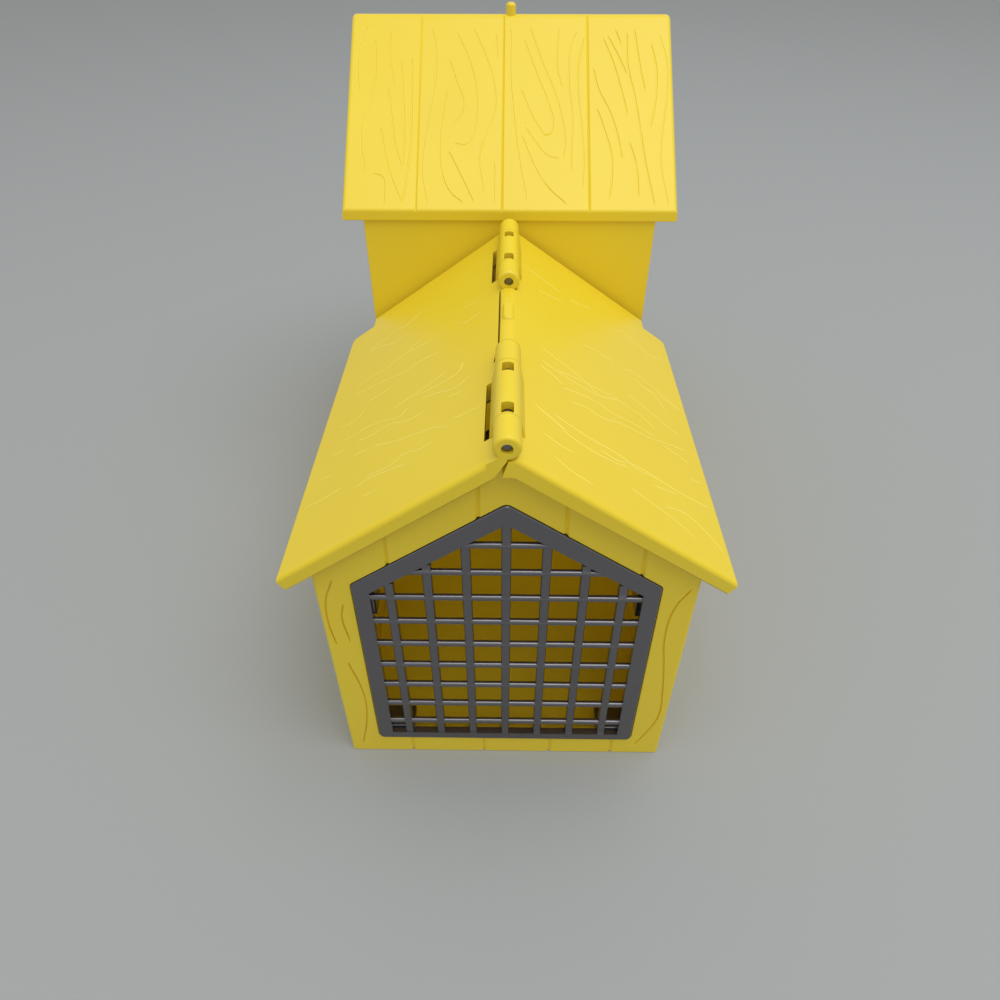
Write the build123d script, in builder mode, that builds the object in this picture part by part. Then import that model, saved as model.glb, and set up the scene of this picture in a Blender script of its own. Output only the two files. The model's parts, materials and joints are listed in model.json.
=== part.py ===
from build123d import *
import os
from math import cos, radians, sin, tan

os.makedirs("parts", exist_ok=True)

# Toy chicken coop: a wire-fronted run under a roof that hinges open along its ridge, with a taller
# hen house behind it. Every wall, floor and roof slope is a flat moulded panel of its own.
# Millimetres, +Z up. The run's front faces -Y, and the origin is on the table under the middle of
# the coop.

# Panels of both parts
outer_width = 95.0
wall = 3.0
floor_thickness = 3.0
corner_round = 1.0
rabbet_depth = 1.0
rabbet_gap = 0.1
wall_groove_width = 1.3
wall_groove_depth = 0.65
roof_groove_width = 1.0
roof_groove_depth = 0.5

# Run, measured from the front wall's outer face
run_length = 118.5
front_plank_joints = (-28.5, -6.5, 13.7, 32.7)
side_plank_pitch = 19.5

# Wire front: a grille moulding that snaps into a recess in the front wall
grille_half_width = 38.25
grille_bottom = 7.75
grille_shoulder = 76.3
grille_apex = 103.05
grille_corner = 1.6
grille_side_border = 4.4
grille_bottom_border = 3.2
grille_slope_border = 4.6
grille_thickness = 2.1
grille_recess = 1.5
grille_gap = 0.15
grille_ledge = 2.0
grille_edge_chamfer = 0.5
column_pitch = 9.6
column_count = 7
column_width = 2.3
column_setback = 0.3
column_bevel = 0.3
row_start = 16.45
row_pitch = 9.2
row_count = 9
row_thickness = 1.7
row_sides = 8
bar_root = 0.6
lug_length = 6.5
lug_hook = 0.9
lug_gap = 0.15
lower_lug_width = 8.6
lower_lug_height = 2.3
upper_lug_width = 3.0
upper_lug_height = 10.0

# Roof of the run: two panels that meet at a ridge along Y
ridge_z = 120.0
roof_slope = 35.0
roof_thickness = 4.35
eave_overhang = 7.7
front_overhang = 3.5
shoulder_setback = 7.2
tongue_inset = 0.5
tongue_gap = 1.6
shoulder_round = 3.0
roof_edge_round = 1.3
ridge_flat = 1.6
ridge_round = 3.2
seam_x = -2.2
seam_gap = 0.4
fixed_tip_x = -1.0
hinged_tip_x = -3.9
leaf_seat_gap = 0.1
rib_thickness = 2.0
rib_height = 3.0
rib_gap = 0.2
rib_end_gap = 3.0
catch_width = 2.9
catch_length = 7.9
catch_height = 0.9
catch_corner = 1.0
catch_chamfer = 0.5

# Ridge hinge: two barrels, each of three knuckles on a steel pin of its own
hinge_rise = 0.9
knuckle_radius = 3.05
rear_barrel_inset = 4.2
moving_knuckle = 8.5
middle_knuckle = 21.9
knuckle_gap = 0.15
knuckle_round = 0.8
pin_radius = 1.25
pin_setback = 1.0
running_clearance = 0.05
held_clearance = 0.02
pocket_clearance = 0.45
pocket_wall_x = 0.2
skirt_x = 3.85
skirt_angle = 12.0
notch_clearance = 1.15
window_width = 2.7
window_lengths = (3.7, 3.4)
window_offsets = (0.45, 16.95)
stop_lengths = (8.0, 2.6)
stop_end_radius = 2.2
stop_sink = 0.05
stop_notch_clearance = 0.5
web_tip_x = -3.5
web_root_x = -4.2

# Hen house, measured from the outer face of its front wall
house_depth = 114.4
house_eave_z = 124.9
house_roof_slope = 38.3
house_roof_thickness = 3.0
house_eave_overhang = 1.2
house_gable_overhang = 6.5
house_roof_round = 1.4
house_ridge_round = 4.3
house_roof_joints = (-30.2, -2.4, 25.7)
house_rib_start = 12.0
house_rib_run = 34.0
pop_hole_width = 26.0
pop_hole_height = 37.0
tab_thickness = 1.6
tab_height = 12.0
tab_heights = (21.0, 58.0)
tab_gap = 0.1
peg_radius = 1.65
peg_height = 3.45
peg_socket = 2.0
peg_round = 1.1

# Places that follow from the sizes above
half_width = outer_width / 2
inner_half = half_width - wall
eave_reach = half_width + eave_overhang
tongue_half_width = half_width - tongue_inset
house_roof_half_width = half_width + house_gable_overhang
total_length = front_overhang + run_length + house_depth + house_eave_overhang
y_front = front_overhang - total_length / 2
y_house = y_front + run_length
y_back = y_house + house_depth
y_ridge = y_house + house_depth / 2
roof_front = y_front - front_overhang
roof_back = y_house - tongue_gap
roof_drop = tan(radians(roof_slope))
roof_depth = roof_thickness / cos(radians(roof_slope))
house_drop = tan(radians(house_roof_slope))
house_roof_depth = house_roof_thickness / cos(radians(house_roof_slope))
y_eave = y_house - house_eave_overhang
house_apex_z = house_eave_z + (y_ridge - y_eave) * house_drop
house_ridge_z = house_apex_z - house_ridge_round * (1 / cos(radians(house_roof_slope)) - 1)
run_ridge_top = ridge_z - ridge_round * (1 / cos(radians(roof_slope)) - 1)
hinge_z = ridge_z + hinge_rise
barrel_length = 2 * moving_knuckle + middle_knuckle + 2 * knuckle_gap
barrel_starts = (roof_front, roof_back - rear_barrel_inset - barrel_length)


def top_z(x):
    """Height of the run roof's top planes at x."""
    return ridge_z - roof_drop * abs(x)


def under_z(x):
    """Height of the run roof's underside at x."""
    return top_z(x) - roof_depth


def house_under_z(y):
    """Height of the house roof's underside at y, on either slope."""
    return house_apex_z - house_roof_depth - house_drop * abs(y - y_ridge)


def across(y):
    """Upright plane at y, seen from the front: local x is +X and local y is +Z."""
    return Plane(origin=(0, y, 0), x_dir=(1, 0, 0), z_dir=(0, -1, 0))


def along(x):
    """Upright plane at x, seen from the right: local x is +Y and local y is +Z."""
    return Plane(origin=(x, 0, 0), x_dir=(0, 1, 0), z_dir=(1, 0, 0))


def gable_outline(half, bottom, shoulder, apex):
    """Corners of a house-shaped outline, counter-clockwise from the lower left."""
    return [(-half, bottom), (half, bottom), (half, shoulder), (0, apex), (-half, shoulder)]


def groove(half_opening, depth):
    """Corners of a V groove's section, which opens at local y = 0 and points to -y."""
    return [(-half_opening, 0), (half_opening, 0), (0, -depth)]


wall_groove = groove(wall_groove_width / 2, wall_groove_depth)
roof_groove = groove(roof_groove_width / 2, roof_groove_depth)
grille_outline = gable_outline(grille_half_width, grille_bottom, grille_shoulder, grille_apex)

# Inner edge of the grille's frame
mesh_half = grille_half_width - grille_side_border
mesh_bottom = grille_bottom + grille_bottom_border
mesh_drop = (grille_apex - grille_shoulder) / grille_half_width
mesh_apex = grille_apex - grille_slope_border * (1 + mesh_drop**2) ** 0.5
mesh_shoulder = mesh_apex - mesh_drop * mesh_half
mesh_outline = gable_outline(mesh_half, mesh_bottom, mesh_shoulder, mesh_apex)

# Front wall: carries the grille, and both roof panels rest on its gable
with BuildPart() as front_wall:
    with BuildSketch(across(y_front)):
        with BuildLine():
            Polyline(
                (-half_width, 0),
                (half_width, 0),
                (half_width, under_z(half_width)),
                (ridge_flat, under_z(ridge_flat)),
                (-ridge_flat, under_z(ridge_flat) - leaf_seat_gap),
                (-half_width, under_z(half_width) - leaf_seat_gap),
                close=True,
            )
        make_face()
    extrude(amount=-wall)
    upright_edges = front_wall.edges().filter_by(Axis.Z).group_by(Axis.Y)[0]
    fillet(upright_edges, corner_round)
    with BuildSketch(across(y_front)) as recess:
        with BuildLine():
            Polyline(*grille_outline, close=True)
        make_face()
        fillet(recess.vertices(), grille_corner)
        offset(amount=grille_gap)
    extrude(amount=-grille_recess, mode=Mode.SUBTRACT)
    with BuildSketch(across(y_front)) as window:
        with BuildLine():
            Polyline(*grille_outline, close=True)
        make_face()
        offset(amount=-grille_ledge, kind=Kind.INTERSECTION)
    extrude(amount=-wall, mode=Mode.SUBTRACT)
    with BuildSketch(Plane(origin=(0, y_front, 0), x_dir=(-1, 0, 0), z_dir=(0, 0, 1))):
        with Locations(*[(-x, 0) for x in front_plank_joints]):
            Polygon(*wall_groove, align=None)
    extrude(amount=ridge_z, mode=Mode.SUBTRACT)
    with BuildSketch(across(y_front + wall)):
        with Locations(
            (half_width - (wall + rabbet_gap) / 2, ridge_z / 2),
            (-half_width + (wall + rabbet_gap) / 2, ridge_z / 2),
        ):
            Rectangle(wall + rabbet_gap, ridge_z)
    extrude(amount=rabbet_depth, mode=Mode.SUBTRACT)
front_wall.part.label = "front_wall"
export_step(front_wall.part, "parts/front_wall.step")


def wall_grooves(plane, places, height):
    """Upright V grooves in a wall's outer face, whose plane has +Z up and its normal outward."""
    section = Plane(origin=plane.origin, x_dir=plane.x_dir, z_dir=(0, 0, 1))
    if section.y_dir.dot(plane.z_dir) < 0:
        section = Plane(origin=plane.origin, x_dir=-plane.x_dir, z_dir=(0, 0, 1))
        places = [-place for place in places]
    with BuildSketch(section) as grooves:
        with Locations(*[(place, 0) for place in places]):
            Polygon(*wall_groove, align=None)
    return extrude(grooves.sketch, amount=height)


# Side walls of the run, each butted into the front wall's rabbet and tabbed into the house
side_start = y_front + wall - rabbet_depth
tab_length = wall - rabbet_depth - tab_gap
side_plank_count = int(run_length / side_plank_pitch)
side_planks = [y_front + side_plank_pitch * step for step in range(1, side_plank_count)]


def make_run_side(side, seat_gap):
    """The run's side wall at side = 1, the right, or -1, the left."""
    outer = along(side * half_width)
    grooves = wall_grooves(Plane(outer.origin, outer.x_dir, (side, 0, 0)), side_planks, ridge_z)
    with BuildPart() as run_side:
        with BuildSketch(across(side_start)):
            with BuildLine():
                Polyline(
                    (side * inner_half, 0),
                    (side * half_width, 0),
                    (side * half_width, under_z(half_width) - seat_gap),
                    (side * inner_half, under_z(inner_half) - seat_gap),
                    close=True,
                )
            make_face()
        extrude(amount=side_start - y_house)
        add(grooves, mode=Mode.SUBTRACT)
        with BuildSketch(across(y_house)):
            with Locations(*[(side * (half_width - wall / 2), z) for z in tab_heights]):
                Rectangle(tab_thickness, tab_height)
        extrude(amount=-tab_length)
    return run_side.part


run_left_wall = make_run_side(-1, leaf_seat_gap)
run_left_wall.label = "run_left_wall"
export_step(run_left_wall, "parts/run_left_wall.step")

run_right_wall = make_run_side(1, 0)
run_right_wall.label = "run_right_wall"
export_step(run_right_wall, "parts/run_right_wall.step")

# Floor of the run, between its walls
with BuildPart() as run_floor:
    with BuildSketch():
        with Locations((0, (y_front + wall + y_house) / 2)):
            Rectangle(2 * inner_half, run_length - wall)
    extrude(amount=floor_thickness)
run_floor.part.label = "run_floor"
export_step(run_floor.part, "parts/run_floor.step")

# Grille: a bevelled frame, flat columns, eight-sided rows through the middle of its thickness, and
# four snap lugs. The columns are flush with the frame at the back.
grille_front = y_front + grille_recess - grille_thickness
grille_back = y_front + grille_recess
column_xs = [column_pitch * (step - (column_count - 1) / 2) for step in range(column_count)]
row_zs = [row_start + row_pitch * step for step in range(row_count)]
window_half = grille_half_width - grille_ledge
lug_half = window_half - lug_gap


def mesh_top(x):
    """Height of the frame's inner edge above x."""
    return mesh_apex - mesh_drop * abs(x)


def mesh_reach(z):
    """Half the clear width inside the frame at height z."""
    return min(mesh_half, (mesh_apex - z) / mesh_drop)


column_front = grille_front + column_setback
column_half = column_width / 2
column_section = [
    (-column_half, grille_back),
    (column_half, grille_back),
    (column_half, column_front + column_bevel),
    (column_half - column_bevel, column_front),
    (column_bevel - column_half, column_front),
    (-column_half, column_front + column_bevel),
]

with BuildPart() as front_grille:
    with BuildSketch(across(grille_back)) as grille_frame:
        with BuildLine():
            Polyline(*grille_outline, close=True)
        make_face()
        fillet(grille_frame.vertices(), grille_corner)
        with BuildLine():
            Polyline(*mesh_outline, close=True)
        make_face(mode=Mode.SUBTRACT)
    extrude(amount=grille_thickness)
    front_face = front_grille.faces().sort_by(Axis.Y)[0]
    chamfer(front_face.outer_wire().edges(), grille_edge_chamfer)
    column_foot = mesh_bottom - bar_root
    for x in column_xs:
        column_head = mesh_top(abs(x) + column_half) + bar_root
        with BuildSketch(Plane.XY.offset(column_foot)):
            Polygon(*[(x + u, y) for u, y in column_section], align=None)
        extrude(amount=column_head - column_foot)
    for z in row_zs:
        row_half = mesh_reach(z - row_thickness / 2) + bar_root
        with BuildSketch(along(-row_half)):
            with Locations(((grille_front + grille_back) / 2, z)):
                RegularPolygon(
                    row_thickness / 2, row_sides, major_radius=False, rotation=180 / row_sides
                )
        extrude(amount=2 * row_half)
    for side in (-1, 1):
        with BuildSketch(along(side * lug_half)):
            with BuildLine():
                Polyline(
                    (grille_back, mesh_shoulder - upper_lug_height),
                    (grille_back + lug_length, mesh_shoulder - upper_lug_height),
                    (grille_back + lug_length, mesh_shoulder),
                    (grille_back, mesh_shoulder),
                    close=True,
                )
            make_face()
        extrude(amount=-side * upper_lug_width)
        hook_start = y_front + wall + lug_gap
        hook_end = grille_back + lug_length
        with BuildSketch(Plane.XY.offset(mesh_shoulder - upper_lug_height)):
            with BuildLine():
                Polyline(
                    (side * (lug_half - lug_gap), hook_start),
                    (side * (lug_half + lug_hook), hook_start),
                    (side * (lug_half - lug_gap), hook_end),
                    close=True,
                )
            make_face()
        extrude(amount=upper_lug_height)
    lower_lug_z = grille_bottom + grille_ledge + lug_gap
    for side in (-1, 1):
        with BuildSketch(along(side * lug_half)):
            with BuildLine():
                Polyline(
                    (grille_back, lower_lug_z),
                    (hook_start, lower_lug_z),
                    (hook_start, lower_lug_z - lug_hook),
                    (hook_end, lower_lug_z),
                    (hook_end, lower_lug_z + lower_lug_height),
                    (grille_back, lower_lug_z + lower_lug_height),
                    close=True,
                )
            make_face()
        extrude(amount=-side * lower_lug_width)
front_grille.part.label = "front_grille"
export_step(front_grille.part, "parts/front_grille.step")


# The middle knuckle of each barrel belongs to the fixed panel, the outer two to the hinged one
middle_starts = [start + moving_knuckle + knuckle_gap for start in barrel_starts]
rear_knuckle_starts = [start + middle_knuckle + knuckle_gap for start in middle_starts]
moving_starts = list(barrel_starts) + rear_knuckle_starts
stop_starts = [start + barrel_length + knuckle_gap for start in barrel_starts]
pocket_radius = knuckle_radius + pocket_clearance
notch_x = -skirt_x - notch_clearance
tip_z = under_z(ridge_flat)
shoulder_back = y_house - shoulder_setback
catch_y = (stop_starts[0] + stop_lengths[0] + barrel_starts[1]) / 2


def roof_section(side, ridge_points):
    """Section of a roof panel: its ridge end's points, top first, then its eave and underside."""
    slope_x = side * sin(radians(roof_slope)) * roof_thickness
    slope_z = cos(radians(roof_slope)) * roof_thickness
    eave_top = (side * eave_reach, top_z(eave_reach))
    eave_low = (eave_top[0] - slope_x, eave_top[1] - slope_z)
    return ridge_points + [eave_low, eave_top]


fixed_ridge = [(0, ridge_z), (seam_x, top_z(seam_x)), (fixed_tip_x, tip_z), (ridge_flat, tip_z)]
hinged_top_x = seam_x - seam_gap
hinged_ridge = [(hinged_top_x, top_z(hinged_top_x)), (hinged_tip_x, under_z(hinged_tip_x))]


def make_panel_blank(side, section, rounded_ridge):
    """A roof panel without its hinge: the section along the run, cut back outside the tongue."""
    with BuildPart() as blank:
        with BuildSketch(across(roof_front)) as outline:
            with BuildLine():
                Polyline(*section, close=True)
            make_face()
            if rounded_ridge:
                fillet(outline.vertices().sort_by(Axis.Y)[-1], ridge_round)
        extrude(amount=roof_front - roof_back)
        with BuildSketch(Plane.XY):
            with Locations((side * (tongue_half_width + eave_reach / 2), shoulder_back + eave_reach / 2)):
                Rectangle(eave_reach, eave_reach)
        extrude(amount=ridge_z, mode=Mode.SUBTRACT)
        shoulder_face = blank.faces().sort_by(lambda f: abs(f.center().Y - shoulder_back))[0]
        outer_corner = shoulder_face.edges().sort_by(lambda e: abs(e.center().X))[-1]
        fillet(outer_corner, shoulder_round)
        top_face = blank.faces().filter_by(lambda f: f.normal_at().Z > 0).sort_by(SortBy.AREA)[-1]
        outer_edges = top_face.edges().sort_by(lambda e: abs(e.center().X))[1:]
        fillet(outer_edges, roof_edge_round)
    return blank.part


fixed_blank = make_panel_blank(1, roof_section(1, fixed_ridge), True)
hinged_blank = make_panel_blank(-1, roof_section(-1, hinged_ridge), False)


def make_front_knuckle(start):
    """The knuckle at the front of a barrel, with its front edge rounded."""
    with BuildPart() as knuckle:
        with BuildSketch(across(start)):
            with Locations((0, hinge_z)):
                Circle(knuckle_radius)
        extrude(amount=-moving_knuckle)
        fillet(knuckle.edges().sort_by(Axis.Y)[0], knuckle_round)
    return knuckle.part


pocket_section = [
    (fixed_tip_x, tip_z),
    (pocket_wall_x, hinge_z - pocket_radius),
    (pocket_wall_x, hinge_z),
    (2 * hinged_tip_x, hinge_z),
    (2 * hinged_tip_x, tip_z),
]
web_section = [
    (0, hinge_z - knuckle_radius),
    (web_tip_x, under_z(web_tip_x)),
    (web_root_x, under_z(web_root_x)),
    (web_root_x, top_z(web_root_x)),
    (-knuckle_radius / 2, top_z(knuckle_radius / 2)),
    (0, hinge_z),
]

# Skirt of the middle knuckles: it leaves the barrel at a tangent and widens down to the panel
tangent_x = knuckle_radius * cos(radians(skirt_angle))
tangent_z = hinge_z + knuckle_radius * sin(radians(skirt_angle))
skirt_z = tangent_z - (skirt_x - tangent_x) / tan(radians(skirt_angle))
skirt_section = [
    (-tangent_x, tangent_z),
    (-skirt_x, skirt_z),
    (-skirt_x, tip_z),
    (skirt_x, tip_z),
    (skirt_x, skirt_z),
    (tangent_x, tangent_z),
]

# Catch on the ridge between the barrels
catch_foot_z = top_z(catch_width)
with BuildPart() as catch:
    with BuildSketch(Plane.XY.offset(catch_foot_z)):
        with Locations((0, catch_y)):
            RectangleRounded(catch_width, catch_length, catch_corner)
    extrude(amount=run_ridge_top + catch_height - catch_foot_z)
    chamfer(catch.edges().group_by(Axis.Z)[-1], catch_chamfer)

# Fixed roof panel, on the right: the middle knuckles, their windows and the stops are part of it
with BuildPart() as fixed_roof_panel:
    add(fixed_blank)
    for start in moving_starts:
        with BuildSketch(across(start - knuckle_gap)):
            Polygon(*pocket_section, align=None)
            with Locations((0, hinge_z)):
                Circle(pocket_radius)
        extrude(amount=-moving_knuckle - 2 * knuckle_gap, mode=Mode.SUBTRACT)
    for start in middle_starts:
        with BuildSketch(across(start)):
            with Locations((0, hinge_z)):
                Circle(knuckle_radius)
            Polygon(*skirt_section, align=None)
        extrude(amount=-middle_knuckle)
    for start, length in zip(stop_starts, stop_lengths):
        with BuildSketch(across(start)):
            with Locations((0, hinge_z)):
                Circle(knuckle_radius)
        with BuildSketch(across(start + length)):
            with Locations((0, run_ridge_top - stop_sink - stop_end_radius)):
                Circle(stop_end_radius)
        loft()
    for start in middle_starts:
        with BuildSketch(across(start)):
            with Locations((0, hinge_z)):
                Circle(pin_radius + held_clearance)
        extrude(amount=-middle_knuckle, mode=Mode.SUBTRACT)
        for offset_y, length in zip(window_offsets, window_lengths):
            with BuildSketch(Plane.XY.offset(hinge_z)):
                with Locations((0, start + offset_y + length / 2)):
                    Rectangle(window_width, length)
            extrude(amount=2 * knuckle_radius, mode=Mode.SUBTRACT)
    add(catch)
    rib_x = inner_half - rib_gap - rib_thickness
    rib_start = y_front + wall + rib_end_gap
    with BuildSketch(across(rib_start)):
        Polygon(
            (rib_x, under_z(rib_x)),
            (rib_x, under_z(rib_x) - rib_height),
            (rib_x + rib_thickness, under_z(rib_x) - rib_height),
            (rib_x + rib_thickness, under_z(rib_x + rib_thickness)),
            align=None,
        )
    extrude(amount=rib_start - (y_house - wall - rib_end_gap))
fixed_roof_panel.part.label = "fixed_roof_panel"
export_step(fixed_roof_panel.part, "parts/fixed_roof_panel.step")

# Hinged roof panel, on the left: notched round the middle knuckles and the stops
with BuildPart() as hinged_roof_panel:
    add(hinged_blank)
    for start in middle_starts:
        with BuildSketch(Plane.XY):
            with Locations((notch_x / 2, start + middle_knuckle / 2)):
                Rectangle(-notch_x, middle_knuckle + 2 * knuckle_gap)
        extrude(amount=ridge_z, mode=Mode.SUBTRACT)
    for start, length in zip(stop_starts, stop_lengths):
        with BuildSketch(Plane.XY):
            Polygon(
                (-knuckle_radius - stop_notch_clearance, start - knuckle_gap),
                (0, start - knuckle_gap),
                (0, start + length),
                (hinged_top_x, start + length),
                align=None,
            )
        extrude(amount=ridge_z, mode=Mode.SUBTRACT)
    for start in barrel_starts:
        add(make_front_knuckle(start))
    for start in rear_knuckle_starts:
        with BuildSketch(across(start)):
            with Locations((0, hinge_z)):
                Circle(knuckle_radius)
        extrude(amount=-moving_knuckle)
    for start in moving_starts:
        with BuildSketch(across(start)):
            Polygon(*web_section, align=None)
        extrude(amount=-moving_knuckle)
        with BuildSketch(across(start)):
            with Locations((0, hinge_z)):
                Circle(pin_radius + running_clearance)
        extrude(amount=-moving_knuckle, mode=Mode.SUBTRACT)
hinged_roof_panel.part.label = "hinged_roof_panel"
export_step(hinged_roof_panel.part, "parts/hinged_roof_panel.step")

# Steel hinge pins, sunk a little into both ends of their barrels
pin_names = ("front_hinge_pin", "rear_hinge_pin")
for name, start in zip(pin_names, barrel_starts):
    with BuildPart() as hinge_pin:
        with BuildSketch(across(start + pin_setback)):
            with Locations((0, hinge_z)):
                Circle(pin_radius)
        extrude(amount=-(barrel_length - 2 * pin_setback))
    hinge_pin.part.label = name
    export_step(hinge_pin.part, f"parts/{name}.step")

# Front wall of the house: the run's back, with the arched pop hole for the hens
with BuildPart() as house_front_wall:
    with BuildSketch(along(-half_width)):
        Polygon(
            (y_house, 0),
            (y_house + wall, 0),
            (y_house + wall, house_under_z(y_house + wall)),
            (y_house, house_under_z(y_house)),
            align=None,
        )
    extrude(amount=outer_width)
    with BuildSketch(across(y_house)):
        arch_radius = pop_hole_width / 2
        arch_z = floor_thickness + pop_hole_height - arch_radius
        with Locations((0, (floor_thickness + arch_z) / 2)):
            Rectangle(pop_hole_width, arch_z - floor_thickness)
        with Locations((0, arch_z)):
            Circle(arch_radius)
    extrude(amount=-wall, mode=Mode.SUBTRACT)
    with BuildSketch(across(y_house)):
        for side in (-1, 1):
            with Locations(*[(side * (half_width - wall / 2), z) for z in tab_heights]):
                Rectangle(tab_thickness + 2 * tab_gap, tab_height + 2 * tab_gap)
    extrude(amount=-wall, mode=Mode.SUBTRACT)
    with BuildSketch(across(y_house + wall)):
        for side in (-1, 1):
            with Locations((side * (half_width - (wall + rabbet_gap) / 2), house_ridge_z / 2)):
                Rectangle(wall + rabbet_gap, house_ridge_z)
    extrude(amount=rabbet_depth, mode=Mode.SUBTRACT)
house_front_wall.part.label = "house_front_wall"
export_step(house_front_wall.part, "parts/house_front_wall.step")

# Back wall of the house
with BuildPart() as house_back_wall:
    with BuildSketch(along(-half_width)):
        Polygon(
            (y_back - wall, 0),
            (y_back, 0),
            (y_back, house_under_z(y_back)),
            (y_back - wall, house_under_z(y_back - wall)),
            align=None,
        )
    extrude(amount=outer_width)
    fillet(house_back_wall.edges().filter_by(Axis.Z).group_by(Axis.Y)[-1], corner_round)
    back_face = Plane(origin=(0, y_back, 0), x_dir=(-1, 0, 0), z_dir=(0, 1, 0))
    add(wall_grooves(back_face, house_roof_joints, house_ridge_z), mode=Mode.SUBTRACT)
    with BuildSketch(across(y_back - wall + rabbet_depth)):
        for side in (-1, 1):
            with Locations((side * (half_width - (wall + rabbet_gap) / 2), house_ridge_z / 2)):
                Rectangle(wall + rabbet_gap, house_ridge_z)
    extrude(amount=rabbet_depth, mode=Mode.SUBTRACT)
house_back_wall.part.label = "house_back_wall"
export_step(house_back_wall.part, "parts/house_back_wall.step")

# Gable walls of the house
gable_start = y_house + wall - rabbet_depth
gable_end = y_back - wall + rabbet_depth
gable_plank_count = int(house_depth / side_plank_pitch)
gable_planks = [y_house + side_plank_pitch * (step + 1) for step in range(gable_plank_count)]
for name, side in (("house_left_wall", -1), ("house_right_wall", 1)):
    gable_face = Plane(origin=(side * half_width, 0, 0), x_dir=(0, side, 0), z_dir=(side, 0, 0))
    gable_grooves = wall_grooves(gable_face, [side * y for y in gable_planks], house_ridge_z)
    with BuildPart() as gable_wall:
        with BuildSketch(along(side * half_width)):
            Polygon(
                (gable_start, 0),
                (gable_end, 0),
                (gable_end, house_under_z(gable_end)),
                (y_ridge, house_under_z(y_ridge)),
                (gable_start, house_under_z(gable_start)),
                align=None,
            )
        extrude(amount=-side * wall)
        add(gable_grooves, mode=Mode.SUBTRACT)
    gable_wall.part.label = name
    export_step(gable_wall.part, f"parts/{name}.step")

# Floor of the house
with BuildPart() as house_floor:
    with BuildSketch():
        with Locations((0, y_ridge)):
            Rectangle(2 * inner_half, house_depth - 2 * wall)
    extrude(amount=floor_thickness)
house_floor.part.label = "house_floor"
export_step(house_floor.part, "parts/house_floor.step")

# Roof slopes of the house, mitred together at their rounded ridge. Each has half of the socket for
# the ridge peg.
slope_run = y_ridge - y_eave
slope_length = slope_run / cos(radians(house_roof_slope))
round_centre_z = house_ridge_z - house_ridge_round
peg_foot_z = house_ridge_z - peg_socket


def ridge_point(facing, angle):
    """Point of the ridge's rounding at that many degrees down from its top, on one slope."""
    return (
        y_ridge + facing * house_ridge_round * sin(radians(angle)),
        round_centre_z + house_ridge_round * cos(radians(angle)),
    )


def make_house_slope(facing):
    """The slope that falls towards the front at facing = -1, or towards the back at 1."""
    eave = y_ridge + facing * slope_run
    up_slope = (0, -facing * cos(radians(house_roof_slope)), sin(radians(house_roof_slope)))
    foot = Plane(origin=(0, eave, house_eave_z), x_dir=(facing, 0, 0), z_dir=up_slope)
    crest = ridge_point(facing, 0)
    shoulder = ridge_point(facing, house_roof_slope)
    with BuildPart() as slope:
        with BuildSketch(along(-house_roof_half_width)):
            with BuildLine():
                ThreePointArc(shoulder, ridge_point(facing, house_roof_slope / 2), crest)
                Polyline(
                    crest,
                    (y_ridge, house_apex_z - house_roof_depth),
                    (eave, house_eave_z - house_roof_depth),
                    (eave, house_eave_z),
                    shoulder,
                )
            make_face()
        extrude(amount=2 * house_roof_half_width)
        flat_faces = slope.faces().filter_by(GeomType.PLANE)
        top = flat_faces.sort_by(lambda f: f.normal_at().Z)[-1]
        outer_edges = top.edges().sort_by(lambda e: abs(e.center().Y - y_ridge))[1:]
        fillet(outer_edges, house_roof_round)
        with BuildSketch(foot.offset(-house_eave_overhang)):
            with Locations(*[(facing * x, 0) for x in house_roof_joints]):
                Polygon(*roof_groove, align=None)
        extrude(amount=slope_length + 2 * house_eave_overhang, mode=Mode.SUBTRACT)
        with BuildSketch(Plane.XY.offset(peg_foot_z)):
            with Locations((0, y_ridge)):
                Circle(peg_radius + held_clearance)
        extrude(amount=peg_socket, mode=Mode.SUBTRACT)
        rib_low = y_ridge + facing * (slope_run - house_rib_start)
        rib_high = rib_low - facing * house_rib_run
        for side in (-1, 1):
            with BuildSketch(along(side * (inner_half - rib_gap))):
                Polygon(
                    (rib_low, house_under_z(rib_low)),
                    (rib_high, house_under_z(rib_high)),
                    (rib_high, house_under_z(rib_high) - rib_height),
                    (rib_low, house_under_z(rib_low) - rib_height),
                    align=None,
                )
            extrude(amount=-side * rib_thickness)
    return slope.part


house_front_roof = make_house_slope(-1)
house_front_roof.label = "house_front_roof"
export_step(house_front_roof, "parts/house_front_roof.step")

house_back_roof = make_house_slope(1)
house_back_roof.label = "house_back_roof"
export_step(house_back_roof, "parts/house_back_roof.step")

# Peg on the house's ridge, with a rounded top
with BuildPart() as ridge_peg:
    with BuildSketch(Plane.XY.offset(peg_foot_z)):
        with Locations((0, y_ridge)):
            Circle(peg_radius)
    extrude(amount=peg_socket + peg_height)
    fillet(ridge_peg.edges().group_by(Axis.Z)[-1], peg_round)
ridge_peg.part.label = "ridge_peg"
export_step(ridge_peg.part, "parts/ridge_peg.step")
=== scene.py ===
"""Toy chicken coop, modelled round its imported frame.

The panels are copies of the frame's own pieces with softened edges, engraved with wood grain. The
wire front, the hinge pins and the ridge peg get their finish here too. Lengths are in metres, and
the drawings of the grain are in millimetres on their own panel.
"""

import json
from math import cos, pi, radians, sin, tan

import bmesh
import bpy
from mathutils import Matrix, Vector

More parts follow.
